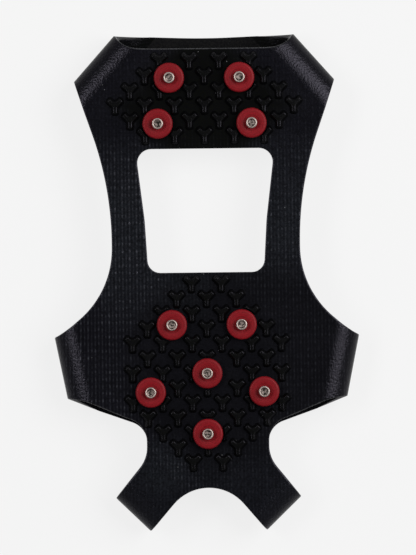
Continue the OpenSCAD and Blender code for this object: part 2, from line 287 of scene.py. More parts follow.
def rib_pattern(tree):
    """The mould's ribs and knots, which follow the sheet through its folds. No two knots are alike, and
    every second rib is fainter. The pattern shapes the ribs' bump and places their painted highlight."""
    sheet = add(tree, "ShaderNodeUVMap", uv_map="sheet")
    cells = add(tree, "ShaderNodeVectorMath", {0: sheet, 1: (1 / RIB_PITCH, 1 / KNOT_PITCH, 0)},
                operation="MULTIPLY")
    cell = add(tree, "ShaderNodeVectorMath", {0: cells}, operation="FLOOR")
    part = add(tree, "ShaderNodeVectorMath", {0: cells}, operation="FRACTION")
    place = add(tree, "ShaderNodeSeparateXYZ", {0: part}).outputs
    number = add(tree, "ShaderNodeSeparateXYZ", {0: cell}).outputs
    chance = add(tree, "ShaderNodeTexWhiteNoise", {"Vector": cell}, noise_dimensions="2D")
    worn = ranged(tree, chance.outputs["Value"], LEAST_KNOT, 1)
    knot = math_node(tree, "MULTIPLY", hump(tree, place["Y"], KNOT_LENGTH / KNOT_PITCH), worn)
    raised = ranged(tree, knot, PLAIN_RIB, 1)
    rib = math_node(tree, "MULTIPLY", hump(tree, place["X"], RIB_WIDTH / RIB_PITCH), raised)
    second = math_node(tree, "FLOORED_MODULO", number["X"], 2.0)
    return math_node(tree, "MULTIPLY", rib, ranged(tree, second, 1, FAINT_RIB))


def rubber_finish(name, ribbed, dark, pale):
    """Black rubber between two tones, with the ribs of the sheet, painted highlights on them and on marked
    edges, or only the grain, with painted shade on marked lug flanks.
    """
    made, tree, shader = new_finish(name)
    surface = add(tree, "ShaderNodeGroup", {"Grain size": GRAIN_SIZE}, node_tree=surface_group)
    tread, bent = attribute(tree, "tread"), attribute(tree, "bent")
    tone = mix_colour(tree, surface.outputs["Cloud"], dark, pale)
    depth = ranged(tree, bent, ranged(tree, tread, FLAT_GRAIN, TREAD_GRAIN), 1)
    grain = math_node(tree, "MULTIPLY", surface.outputs["Grain"], depth)
    bump = add(tree, "ShaderNodeBump", {"Height": grain, "Distance": GRAIN_HEIGHT})
    if ribbed:
        plain = mix_colour(tree, surface.outputs["Cloud"], RUBBER_DARK, RUBBER_PALE)
        plain = mix_colour(tree, attribute(tree, "stretch"), plain, STRETCHED)
        tone = mix_colour(tree, math_node(tree, "SUBTRACT", 1.0, tread), tone, plain)
        shown = math_node(tree, "SUBTRACT", 1.0, attribute(tree, "smooth"))
        ribs = math_node(tree, "MULTIPLY", rib_pattern(tree), shown)
        # A highlight is painted along the ribs, most on the knots, as well as the bump that they give below
        tone = mix_colour(tree, ribs, tone, RIB_PAINTED_HIGHLIGHT)
        bump = add(tree, "ShaderNodeBump", {"Height": ribs, "Distance": RIB_HEIGHT, "Normal": bump})
        # A highlight is painted on the marked edge roundings
        tone = mix_colour(tree, attribute(tree, "rim"), tone, RIM_PAINTED_HIGHLIGHT)
        shine = ranged(tree, tread, SHEET_SHINE, TREAD_SHINE, DULL_FROM)
        tree.links.new(shine, shader.inputs["Specular IOR Level"])
    else:
        # Painted shade darkens the marked lug flanks
        tone = mix_colour(tree, attribute(tree, "flank"), tone, FLANK_PAINTED_SHADE)
        shader.inputs["Specular IOR Level"].default_value = PLAIN_SHINE
    solid = ranged(tree, surface.outputs["Grain"], 1 - PORE_DEPTH, 1, *PORE_EDGE)
    shaded = mix_colour(tree, solid, PORE, tone)
    dusty = mix_colour(tree, surface.outputs["Speck"], shaded, DUST)
    rough = ranged(tree, surface.outputs["Cloud"], *(SHEET_ROUGH if ribbed else PLAIN_ROUGH), *CLOUD_SPAN)
    shader.inputs["Specular Tint"].default_value = SHEEN_TINT
    dress(tree, shader, dusty, rough, bump)
    return made


rubber = rubber_finish("moulded_rubber", True, TREAD_DARK, TREAD_PALE)


# The sole
# The tread side of the moulding: a flat sheet with a window under the arch of the foot, free edges
# rounded by the mould and a hole for each stud.
PAD_EDGE = (22, 100.85, 60)
HEEL_REAR = (38.6, 107.0)
HEEL_FRONT = (56.3, 87.0)
WAIST = (40.5, 41.5, 145)
FLARE = (40.5, -7.5, 40)
WING_REAR = (65.8, -22.5)
WING_FRONT = (60.4, -49.4)
NOTCH_REAR = (26.3, -60.7, 14)
NOTCH_FRONT = (26.3, -75.7, 15)
LEG_REAR = (40.0, -92.5)
LEG_FRONT = (25.1, -107.0)
ARCH = (0.0, -77.6, 19.8)
WING_BOW = {"inner": 33, "outer": 62, "depth": 1.35, "skew": 1.7}
WINDOW = [(29.9, 57.7, 6), (26.2, 27.0, 60), (24.9, 4.4, 5.5)]
PAST_FOLD = 4
PAD_EDGE_STEP = 7.3
STRAP_FLAT = 14 * MM
HEEL_STRAP_FLAT = 5 * MM
EDGE_ROUND = 0.5 * MM
EDGE_SUPPORT = 0.4 * MM
ROUND_STEPS = 4
ARC_STEP = 1.2 * MM
LEAST_ARC = 3
ROOM_SHARED = 0.495
ROOM_ALONE = 0.95
STRAIGHT = 0.02
MERGE = 0.002 * MM
LEAST_EDGE = 0.001 * MM
SAME_PLACE = 1e-9
EDGE_SPACING = 2.4 * MM
GRID = 4 * MM
SHARP_ANGLE = math.radians(48)
STUD_HOLE = 5.7 * MM
HOLE_SIDES = 32
LUG_STEP = 6.4 * MM
TREAD_FADE = 12 * MM
# Painted highlight on the sole's edge rounding: full to the rear of this line on the heel pad, and this
# strong along the front of each wing
HEEL_RIM_HIGHLIGHT_Y = 95 * MM
WING_RIM_HIGHLIGHT = 0.7
STRETCH_FADE = 14 * MM
HEEL_SMOOTH = 0.8
RAIL_SHARP = 0.6
TOE_SMOOTH = 0.65
TOE_STRETCH = 0.45
LEFT_PATCH = {"middle": (-20.5, -81), "reach": 17, "stretch": 1.6}
STRETCH_REAR = (33, 68)
STRETCH_FRONT_LEFT = (10, -22)
STRETCH_FRONT_RIGHT = (16, -3)
RIGHT_SMOOTH = 0.6
HEEL_LATTICE = {"middle": 76.15, "rows": (-2, 3), "columns": 6, "reach": 6, "odd": 0, "black": 1,
                "behind": 1, "right": 1}
FOREFOOT_LATTICE = {"middle": -39.0, "rows": (-6, 6), "columns": 5, "reach": 7, "odd": 1, "black": 0.3,
                    "behind": 0.7, "right": 0.4}
LATTICES = (HEEL_LATTICE, FOREFOOT_LATTICE)
sheet_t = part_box("toe_saddle")[1].z
sole_z = tread_z - sheet_t
fold_r = tread_z / 2
heel_studs = ["heel_rear_left", "heel_rear_right", "heel_front_left", "heel_front_right"]
forefoot_studs = ["ball_left", "ball_right", "middle", "outer_left", "outer_right", "toe"]


def along(p, q, distance):
    """The point that lies a distance from p towards q."""
    a, b = Vector(p[:2]), Vector(q[:2])
    return tuple(a + (b - a).normalized() * distance)


def past(p, bend):
    """A folded corner, carried on past the fold along the free edge that comes from a bend."""
    return (*along(p, bend, -PAST_FOLD), 0)


def rounded(corners):
    """Points round a closed outline; a corner's third value is the radius of its arc."""
    points = []
    for i, (x, y, r) in enumerate(corners):
        here, before, after = Vector((x, y)), corners[i - 1], corners[(i + 1) % len(corners)]
        if not r:
            points.append(here)
            continue
        u, v = Vector(before[:2]) - here, Vector(after[:2]) - here
        half = u.angle(v) / 2
        rooms = [edge.length * (ROOM_SHARED if end[2] else ROOM_ALONE)
                 for edge, end in ((u, before), (v, after))]
        reach = min(r / math.tan(half), *rooms)
        u, v = u.normalized(), v.normalized()
        r = reach * math.tan(half)
        middle = here + (u + v).normalized() * r / math.sin(half)
        first, last = here + u * reach - middle, here + v * reach - middle
        start = math.atan2(first.y, first.x)
        turn = math.atan2(first.x * last.y - first.y * last.x, first.dot(last))
        steps = max(LEAST_ARC, math.ceil(abs(turn) * r / ARC_STEP))
        for k in range(steps + 1):
            angle = start + turn * k / steps
            points.append(middle + r * Vector((math.cos(angle), math.sin(angle))))
    return points


def outline(right_half):
    """Closed outline in metres, anticlockwise, from the corners of its right half in millimetres."""
    left = [(-x, y, r) for x, y, r in reversed(right_half) if x > 0]
    points = rounded([(x * MM, y * MM, r * MM) for x, y, r in right_half + left])[::-1]
    spaced = []
    for p, q in zip(points, points[1:] + points[:1]):
        pieces = max(1, math.ceil((q - p).length / EDGE_SPACING))
        spaced += [p.lerp(q, k / pieces) for k in range(pieces)]
    return spaced


def faded(value, full, none):
    """How strong something is, from 1 where a value is full to 0 where it is none."""
    return min(1, max(0, (value - none) / (full - none)))


def bowed(points):
    """An outline with the front edge of each wing drawn in a little, most near the fold."""
    moved = []
    for p in points:
        on_front = NOTCH_REAR[1] * MM < p.y < WING_FRONT[1] * MM
        share = faded(abs(p.x) / MM, WING_BOW["outer"], WING_BOW["inner"])
        bow = WING_BOW["depth"] * MM * math.sin(math.pi * share ** WING_BOW["skew"])
        moved.append(p + Vector((0, bow if on_front else 0)))
    return moved


class Strap:
    """A folded strap on the right side: its folded edge, depth, finish and the stretch it keeps to."""

    def __init__(self, name, rear, front, flat, smooth, low_y, high_y):
        self.name, self.depth, self.smooth = name, fold_r + flat, smooth
        self.low_y, self.high_y = low_y, high_y
        self.rear, self.front = Vector(rear) * MM, Vector(front) * MM
        self.way = (self.front - self.rear).normalized()
        self.out = Vector((-self.way.y, self.way.x))

    def place(self, p):
        """A point of either side as a distance out from the folded edge and a distance along it."""
        rel = Vector((abs(p.x), p.y)) - self.rear
        return rel.dot(self.out), rel.dot(self.way)

    def holds(self, p):
        """True if a point lies on the ground that the strap takes."""
        return self.place(p)[0] > -self.depth and self.low_y < p.y < self.high_y


window_rear, window_front = WINDOW[0][1] * MM, WINDOW[-1][1] * MM
notch_middle = (NOTCH_REAR[1] + NOTCH_FRONT[1]) / 2 * MM
straps = [
    Strap("heel_strap", HEEL_REAR, HEEL_FRONT, HEEL_STRAP_FLAT, HEEL_SMOOTH, window_rear, math.inf),
    Strap("side_strap", WING_REAR, WING_FRONT, STRAP_FLAT, 0, notch_middle, window_front),
    Strap("toe_strap", LEG_REAR, LEG_FRONT, STRAP_FLAT, TOE_SMOOTH, -math.inf, notch_middle),
]


def cut_straps(points):
    """Cuts the ground of the straps off an outline. Returns the points left, a flag for each edge
    that is a cut, and the run of outline that each strap on the right side takes."""
    owner = [next((s for s in straps if s.holds(p)), None) for p in points]
    first = owner.index(None)
    points, owner = points[first:] + points[:first], owner[first:] + owner[:first]
    kept, is_cut, runs, run = [], [], {}, []
    for i, p in enumerate(points):
        q, mine, following = points[(i + 1) % len(points)], owner[i], owner[(i + 1) % len(points)]
        if mine is None:
            kept.append(p)
            is_cut.append(False)
        else:
            run.append(p)
        if mine is following:
            continue
        strap = mine or following
        here, there = strap.place(p)[0], strap.place(q)[0]
        crossing = p.lerp(q, (-strap.depth - here) / (there - here))
        kept.append(crossing)
        is_cut.append(mine is None)
        if mine is None:
            run = [crossing]
        elif run[0].x > 0:
            runs[strap.name] = run + [crossing]
    return kept, is_cut, runs


def inset(points, distances):
    """Moves each edge of a loop to its left by its own distance."""
    moved = []
    for i, p in enumerate(points):
        before, after = (p - points[i - 1]).normalized(), (points[(i + 1) % len(points)] - p).normalized()
        d1, d2 = distances[i - 1], distances[i]
        n1, n2 = Vector((-before.y, before.x)), Vector((-after.y, after.x))
        det = n1.x * n2.y - n1.y * n2.x
        if abs(det) < STRAIGHT:
            moved.append(p + (n1 + n2).normalized() * (d1 + d2) / 2)
        else:
            moved.append(p + Vector((d1 * n2.y - d2 * n1.y, n1.x * d2 - n2.x * d1)) / det)
    return moved


def edge_levels(low, high):
    """The rounded edge of a sheet as steps of inset and height, from its top face to its bottom face."""
    top = [(EDGE_ROUND + EDGE_SUPPORT, high)]
    for k in range(ROUND_STEPS + 1):
        a = math.radians(90) * k / ROUND_STEPS
        top.append((EDGE_ROUND * (1 - math.sin(a)), high - EDGE_ROUND * (1 - math.cos(a))))
    return top + [(d, low + high - z) for d, z in reversed(top)]


def in_loops(p, loops):
    """True if a point lies inside the outer loop and in none of the holes."""
    inside = False
    for loop in loops:
        for a, b in zip(loop, loop[1:] + loop[:1]):
            if (a.y > p.y) != (b.y > p.y) and p.x < a.x + (p.y - a.y) / (b.y - a.y) * (b.x - a.x):
                inside = not inside
    return inside


def finish_mesh(bm, name, finish):
    """Closes a mesh, turns its faces outwards and makes it an object at the origin."""
    bmesh.ops.remove_doubles(bm, verts=bm.verts, dist=MERGE)
    bmesh.ops.dissolve_degenerate(bm, edges=bm.edges, dist=LEAST_EDGE)
    bmesh.ops.recalc_face_normals(bm, faces=bm.faces)
    mesh = bpy.data.meshes.new(name)
    bm.to_mesh(mesh)
    bm.free()
    mesh.shade_smooth()
    mesh.set_sharp_from_angle(angle=SHARP_ANGLE)
    mesh.materials.append(finish)
    return placed(name, mesh)


def join_rings(bm, rings):
    """Joins rings of as many points by faces, each ring to the next."""
    for a, b in zip(rings, rings[1:]):
        for i in range(len(a)):
            j = (i + 1) % len(a)
            bm.faces.new((a[i], a[j], b[j], b[i]))


def edge_rings(bm, loop, cut, levels):
    """The rings of a sheet's edge round one loop, joined by faces."""
    rings = []
    for d, z in levels:
        moved = inset(loop, [0 if c else d for c in cut])
        rings.append([bm.verts.new((p.x, p.y, z)) for p in moved])
    join_rings(bm, rings)
    return rings


def tread_share(place, lattice, right=1):
    """How far a place lies in the diamond of a lattice of lugs, from 0 outside it to 1 inside. The
    diamond is drawn out where distances behind its middle, or to its right, count for less."""
    behind = place.y - lattice["middle"] * MM
    far_x, far_y = max(-place.x, place.x * right), max(-behind, behind * lattice["behind"])
    inside = (lattice["reach"] + 1) * LUG_STEP - far_x - far_y
    inside = min(inside, (lattice["columns"] + 1) * LUG_STEP - far_x)
    return faded(inside, TREAD_FADE, 0)


def black_share(place):
    """How much of the tread's black a place has. On the forefoot it runs on over the right wing."""
    return max(tread_share(place, lattice, lattice["right"]) * lattice["black"] for lattice in LATTICES)


def rail_share(place):
    """How far the rubber is stretched along the rails. It eases off towards both pads, and on the
    right it does so sooner towards the forefoot."""
    front = STRETCH_FRONT_LEFT if place.x < 0 else STRETCH_FRONT_RIGHT
    return faded(place.y / MM, *STRETCH_REAR) * faded(place.y / MM, *front)


def patch_share(place):
    """How far the rubber is stretched in a round patch where the left leg leaves the sole."""
    away = (place.xy / MM - Vector(LEFT_PATCH["middle"])).length
    return LEFT_PATCH["stretch"] * faded(away, 0, LEFT_PATCH["reach"])


def painted_rim_highlight(place):
    """How strong the painted highlight on the rounding of the sole's edge is: all along the rear of the
    heel pad, and along the front of each wing, where it fades towards the notch."""
    if place.y > HEEL_RIM_HIGHLIGHT_Y:
        return 1
    on_front = WING_FRONT[1] * MM > place.y > NOTCH_REAR[1] * MM
    return WING_RIM_HIGHLIGHT * faded(abs(place.x) / MM, WING_FRONT[0], NOTCH_REAR[0]) if on_front else 0


def marks(bm, *names):
    """Makes room for values that each point of a mesh carries under their names."""
    return [bm.verts.layers.float.new(name) for name in names]


def mark_sole(bm, top):
    """Marks how black, stretched and smooth the sole is, and its painted highlight on rounded edges."""
    tread, stretch, smooth, pale = marks(bm, "tread", "stretch", "smooth", "rim")
    half_fade = STRETCH_FADE / 2
    for vert in bm.verts:
        place = vert.co
        on_rail = rail_share(place)
        to_toe = faded(notch_middle - place.y, STRETCH_FADE, 0)
        to_right = faded(place.x, half_fade, -half_fade)
        to_heel = faded(place.y - window_rear, half_fade, -half_fade)
        among_lugs = [tread_share(place, lattice) for lattice in LATTICES]
        ribless = max(*among_lugs, HEEL_SMOOTH * to_heel, RIGHT_SMOOTH * to_right)
        vert[tread] = black_share(place)
        vert[stretch] = max(on_rail, TOE_STRETCH * to_toe, patch_share(place))
        vert[smooth] = ribless - RAIL_SHARP * on_rail
        # Painted highlight on the top rounding of the marked edges
        vert[pale] = painted_rim_highlight(place) if top - EDGE_ROUND < place.z < top else 0


def flat_sheet(name, loops, cuts, low, high, finish, marked=False):
    """A flat sheet of rubber from its outer loop and holes; edges that are cuts stay square. The sole's
    sheet is marked for its finish."""
    bm = bmesh.new()
    uv = bm.loops.layers.uv.new("sheet")
    rims = [edge_rings(bm, loop, cut, edge_levels(low, high)) for loop, cut in zip(loops, cuts)]
    flat_loops = [[v.co.xy for v in rings[0]] for rings in rims]
    inputs = [p for loop in flat_loops for p in loop]
    borders, start = [], 0
    rim = kdtree.KDTree(len(inputs))
    for loop in flat_loops:
        for i, p in enumerate(loop):
            borders.append((start + i, start + (i + 1) % len(loop)))
            rim.insert((p.x, p.y, 0), start + i)
        start += len(loop)
    rim.balance()
    low_x, high_x = min(p.x for p in inputs), max(p.x for p in inputs)
    low_y, high_y = min(p.y for p in inputs), max(p.y for p in inputs)
    for row in range(int((high_y - low_y) / GRID) + 1):
        for column in range(int((high_x - low_x) / GRID) + 1):
            p = Vector((low_x + (column + 0.5) * GRID, low_y + (row + 0.5) * GRID))
            if rim.find((p.x, p.y, 0))[2] > GRID / 2 and in_loops(p, flat_loops):
                inputs.append(p)
    places, _, triangles, origins, _, _ = delaunay_2d_cdt(inputs, borders, [], 0, SAME_PLACE)
    for end, z in ((0, high), (-1, low)):
        rim_verts = [v for rings in rims for v in rings[end]]
        verts = []
        for p, origin in zip(places, origins):
            on_rim = [i for i in origin if i < len(rim_verts)]
            verts.append(rim_verts[on_rim[0]] if on_rim else bm.verts.new((p.x, p.y, z)))
        for triangle in triangles:
            if in_loops(sum((places[i] for i in triangle), Vector((0, 0))) / 3, flat_loops):
                bm.faces.new([verts[i] for i in triangle])
    for face in bm.faces:
        for loop in face.loops:
            loop[uv].uv = loop.vert.co.xy
    if marked:
        mark_sole(bm, high)
    return finish_mesh(bm, name, finish)


def stud_place(name):
    """The middle of a stud, seen from above."""
    low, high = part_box(f"{name}_disc")
    return ((low + high) / 2).xy


def stud_hole(name):
    """The hole in the sole for a stud, clockwise."""
    turns = [-math.tau * k / HOLE_SIDES for k in range(HOLE_SIDES)]
    return [stud_place(name) + STUD_HOLE * Vector((math.cos(a), math.sin(a))) for a in turns]


pad_heel_rear = along(HEEL_REAR, HEEL_FRONT, PAD_EDGE_STEP)
sole_loop, sole_cuts, sole_runs = cut_straps(bowed(outline([
    PAD_EDGE, past(pad_heel_rear, PAD_EDGE), past(HEEL_FRONT, WAIST), WAIST, FLARE,
    past(WING_REAR, FLARE), past(WING_FRONT, NOTCH_REAR), NOTCH_REAR, NOTCH_FRONT,
    past(LEG_REAR, NOTCH_FRONT), past(LEG_FRONT, ARCH), ARCH])))
window_loop = outline(WINDOW)[::-1]
holes = [stud_hole(name) for name in heel_studs + forefoot_studs]
sole = flat_sheet("sole", [sole_loop, window_loop, *holes],
                  [sole_cuts, [False] * len(window_loop), *([True] * HOLE_SIDES for _ in holes)],
                  sole_z, tread_z, rubber, marked=True)
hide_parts("forefoot_pad", "heel_pad", "left_rail", "right_rail")
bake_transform(sole)


# The toe saddle
# The part of the upper that lies over the toes of a shoe, flat on the table here. Its front edge
# runs a little lower than the sole's, so it peeps out along the front of the wings.
SADDLE_FALL = 1.7
WING_EDGE_STEP = 1
SADDLE_REAR = (0.0, -32.5, 300)
saddle_notch = (NOTCH_REAR[0], NOTCH_REAR[1] - SADDLE_FALL, NOTCH_REAR[2])
saddle_wing_rear = along(WING_REAR, WING_FRONT, WING_EDGE_STEP)
saddle_wing_front = along(WING_FRONT, WING_REAR, -WING_EDGE_STEP)
saddle_loop, saddle_cuts, saddle_runs = cut_straps(outline([
    SADDLE_REAR, past(saddle_wing_rear, SADDLE_REAR), past(saddle_wing_front, saddle_notch),
    saddle_notch, NOTCH_FRONT, past(LEG_REAR, NOTCH_FRONT), past(LEG_FRONT, ARCH), ARCH]))
saddle = flat_sheet("saddle", [saddle_loop], [saddle_cuts], 0, sheet_t, rubber)
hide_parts("toe_saddle")
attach(saddle, "saddle")


# The heel band
# The part of the upper that grips the back of a shoe. It lies under the heel pad, and its rear edge
# shows behind the pad as the far lip of a dark slit.
BAND_REAR = (0.0, 105.5, 300)
BAND_FRONT = (0.0, 62.0, 90)
BAND_EDGE_STEP = 1.6
BAND_DARK = (0.0052, 0.0052, 0.0048, 1)
BAND_PALE = (0.0088, 0.0088, 0.0082, 1)
band_rubber = rubber_finish("band_rubber", False, BAND_DARK, BAND_PALE)
band_heel_front = along(HEEL_FRONT, HEEL_REAR, BAND_EDGE_STEP)
band_loop, band_cuts, band_runs = cut_straps(outline([
    BAND_REAR, past(HEEL_REAR, BAND_REAR), past(band_heel_front, BAND_FRONT), BAND_FRONT]))
band = flat_sheet("heel_strip", [band_loop], [band_cuts], 0, sheet_t, band_rubber)
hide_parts("heel_band")
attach(band, "heel_band")


# The straps
# Six stretches of the moulding that turn down from the sole, fold in a flat half round and run back
# under it. Each is swept along its fold, with the free edges that the sole and the upper have there.
FOLD_WIDTH = 12 * MM
FOLD_STEPS = 24
FLAT_STEPS = 6
ACROSS_STEPS = 14
# How far round the fold the painted highlight on the straps' edge roundings reaches, at the heel and on the
# side straps
HEEL_RIM_HIGHLIGHT_END = 0.25
WING_RIM_HIGHLIGHT_END = 0.5
GRAIN_OPENS = math.sin(math.radians(14))


def edge_reader(side):
    """A free edge of a strap: its place along the fold, by the distance out from the folded edge."""
    side = sorted(side)

    def edge(n):
        """The place along the fold at a distance out."""
        i = next((i for i in range(1, len(side)) if side[i][0] >= n), len(side) - 1)
        (n0, t0), (n1, t1) = side[i - 1], side[i]
        return t0 + (t1 - t0) * (n - n0) / (n1 - n0)
    return edge


def free_edges(strap, run):
    """The rear and the front free edge of a strap, from the run of outline that it takes."""
    path = [strap.place(p) for p in run]
    folded = [i for i, (n, t) in enumerate(path) if n > 0]
    sides = [path[:folded[0] + 1], path[folded[-1]:]]
    sides.sort(key=lambda side: sum(t for n, t in side) / len(side))
    return [edge_reader(side) for side in sides]


def strap_path(strap):
    """Steps along a strap, each with the middle of the sheet (n, z), the way that its outer face
    looks, the place of that face, the share of the fold behind it and the length of sheet so far."""
    half = sheet_t / 2
    wide, tall = FOLD_WIDTH - half, fold_r - half
    flat = strap.depth - FOLD_WIDTH
    steps = []
    for k in range(FLAT_STEPS):
        n = -strap.depth + flat * k / FLAT_STEPS
        steps.append((n, tread_z - half, 0, 1, n, 0, n))
    length, last = -FOLD_WIDTH, Vector((-FOLD_WIDTH, tread_z - half))
    for k in range(FOLD_STEPS + 1):
        a = math.pi * k / FOLD_STEPS
        middle = Vector((-FOLD_WIDTH + wide * math.sin(a), fold_r + tall * math.cos(a)))
        look = Vector((tall * math.sin(a), wide * math.cos(a))).normalized()
        length += (middle - last).length
        last = middle
        steps.append((*middle, *look, middle.x + look.x * half, k / FOLD_STEPS, length))
    for k in range(1, FLAT_STEPS + 1):
        run = flat * k / FLAT_STEPS
        n = -FOLD_WIDTH - run
        steps.append((n, half, 0, -1, n, 1, length + run))
    return steps


def strap_piece(strap, side, upper_run, lower_run):
    """One strap, on the left (-1) or the right (1)."""
    bm = bmesh.new()
    uv = bm.loops.layers.uv.new("sheet")
    smooth, stretch, tread, pale, bent = marks(bm, "smooth", "stretch", "tread", "rim", "bent")
    at_heel = strap.name == "heel_strap"
    upper, lower = free_edges(strap, upper_run), free_edges(strap, lower_run)
    half = sheet_t / 2
    rounding = edge_levels(-half, half)
    flat_inset = rounding[0][0]
    path = strap_path(strap)
    spans = []
    for _, _, _, _, n, share, _ in path:
        # At the heel the rear edge changes over in the first half of the fold, the front one in the second
        shares = (faded(share, 0.5, 0), faded(share, 1, 0.5)) if at_heel else (share, share)
        eases = [s * s * (3 - 2 * s) for s in shares]
        spans.append([a(n) * (1 - ease) + b(n) * ease for a, b, ease in zip(upper, lower, eases)])
    rings, flats = [], {}
    for i, (mid_n, mid_z, look_n, look_z, _, share, length) in enumerate(path):
        before, after = max(i - 1, 0), min(i + 1, len(path) - 1)
        run = path[after][-1] - path[before][-1]
        rear_slant, front_slant = [math.hypot(1, (spans[after][e] - spans[before][e]) / run) for e in (0, 1)]
        rear, front = spans[i]
        first, last = rear + flat_inset * rear_slant, front - flat_inset * front_slant
        across = [first + (last - first) * k / ACROSS_STEPS for k in range(ACROSS_STEPS + 1)]
        section = [(t, half) for t in across]
        section += [(front - d * front_slant, z) for d, z in rounding[1:-1]]
        section += [(t, -half) for t in reversed(across)]
        section += [(rear + d * rear_slant, z) for d, z in reversed(rounding[1:-1])]
        ring = []
        for t, z in section:
            plan = strap.rear + strap.out * (mid_n + look_n * z) + strap.way * t
            vert = bm.verts.new((side * plan.x, plan.y, mid_z + look_z * z))
            flat = strap.rear + strap.out * length + strap.way * t
            flats[vert] = (side * flat.x, flat.y)
            vert[smooth] = max(strap.smooth, RIGHT_SMOOTH if side > 0 else 0)
            vert[stretch] = max(TOE_STRETCH, patch_share(vert.co)) if strap.name == "toe_strap" else 0
            vert[tread] = share if at_heel else black_share(vert.co)
            vert[bent] = min(1, abs(look_n) / GRAIN_OPENS)
            ring.append(vert)
        # A highlight is painted on the top rounding of the heel strap's rear edge near the sole, and of the
        # side strap's front edge
        for vert in ring[-ROUND_STEPS:-1]:
            vert[pale] = faded(share, 0, HEEL_RIM_HIGHLIGHT_END) if at_heel else 0
        for vert in ring[ACROSS_STEPS + 2:ACROSS_STEPS + 1 + ROUND_STEPS]:
            vert[pale] = WING_RIM_HIGHLIGHT * faded(share, 0, WING_RIM_HIGHLIGHT_END) if strap.name == "side_strap" else 0
        rings.append(ring)
    join_rings(bm, rings)
    bm.faces.new(rings[0])
    bm.faces.new(rings[-1])
    for face in bm.faces:
        for loop in face.loops:
            loop[uv].uv = flats[loop.vert]
    name = f"{'left' if side < 0 else 'right'}_{strap.name}"
    piece = finish_mesh(bm, f"{name}_fold", rubber)
    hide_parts(name)
    if at_heel:
        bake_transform(piece)
    else:
        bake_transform(piece)


for strap in straps:
    lower_runs = band_runs if strap.name == "heel_strap" else saddle_runs
    for side in (-1, 1):
        strap_piece(strap, side, sole_runs[strap.name], lower_runs[strap.name])


# The tread lugs
# Low grips like the letter Y, moulded with the sole in a diamond lattice on each pad. They stop
# short of the stud discs, and have rounded shoulders and sloped flanks, darkened by painted shade.
LUG_HEIGHT = 1.5 * MM
LUG_BAR = 2.0
LUG_STEM = 3.3
LUG_ARM = 4.0
LUG_ARM_TURN = 45
LUG_TIP_ROUND = 0.55
LUG_CROTCH_ROUND = 1.6
LUG_SECTION = [(-0.85, -0.3), (-0.8, 0.02), (-0.45, 0.5), (0.0, 1.05), (0.15, 1.27), (0.32, 1.43),
               (0.52, 1.5)]
# The lug is marked for painted shade below this height
FLANK_SHADE_TOP = 1.1
DISC_MARGIN = 0.8 * MM
CUTTER_DEPTH = 4 * LUG_HEIGHT
plain_rubber = rubber_finish("plain_rubber", False, TREAD_DARK, TREAD_PALE)


def lug_outline():
    """The outline of a lug, anticlockwise: two raised arms and a stem, with round ends and crotches."""
    half = LUG_BAR / 2
    turns = [math.radians(a) for a in (-90, LUG_ARM_TURN, 180 - LUG_ARM_TURN)]
    corners = []
    for i, (a, length) in enumerate(zip(turns, (LUG_STEM, LUG_ARM, LUG_ARM))):
        ahead, aside = Vector((math.cos(a), math.sin(a))), Vector((-math.sin(a), math.cos(a)))
        gap = (turns[(i + 1) % len(turns)] - a) % math.tau
        bisector = a + gap / 2
        crotch = Vector((math.cos(bisector), math.sin(bisector))) * half / math.sin(gap / 2)
        corners += [(*(ahead * length - aside * half), LUG_TIP_ROUND),
                    (*(ahead * length + aside * half), LUG_TIP_ROUND), (*crotch, LUG_CROTCH_ROUND)]
    return rounded([(x * MM, y * MM, r * MM) for x, y, r in corners])


def lug_shape():
    """One lug at the origin, with its foot a little below the tread."""
    bm = bmesh.new()
    flank = bm.verts.layers.float.new("flank")
    loop = lug_outline()
    rings = []
    for d, z in LUG_SECTION:
        ring = inset(loop, [d * MM] * len(loop))
        rings.append([bm.verts.new((p.x, p.y, z * MM)) for p in ring])
        for vert in rings[-1]:
            # Painted shade on the lower flank
            vert[flank] = z < FLANK_SHADE_TOP
    join_rings(bm, rings)
    caps = [bm.faces.new(rings[-1]), bm.faces.new(rings[0][::-1])]
    bmesh.ops.triangulate(bm, faces=caps)
    return finish_mesh(bm, "lug_shape", plain_rubber)


def node_inputs(tree, inputs):
    """Names the inputs of a Geometry Nodes tree and returns its input and output node."""
    for label, kind in inputs:
        tree.interface.new_socket(label, in_out="INPUT", socket_type=f"NodeSocket{kind}")
    tree.interface.new_socket("Geometry", in_out="OUTPUT", socket_type="NodeSocketGeometry")
    return add(tree, "NodeGroupInput"), add(tree, "NodeGroupOutput")


def end_tree(tree, shape, finish, out):
    """Ends a tree with its shape as plain faces in one finish."""
    whole = add(tree, "GeometryNodeRealizeInstances", {0: shape})
    dressed = add(tree, "GeometryNodeSetMaterial", {"Geometry": whole, "Material": finish})
    tree.links.new(dressed.outputs[0], out.inputs["Geometry"])
    return tree


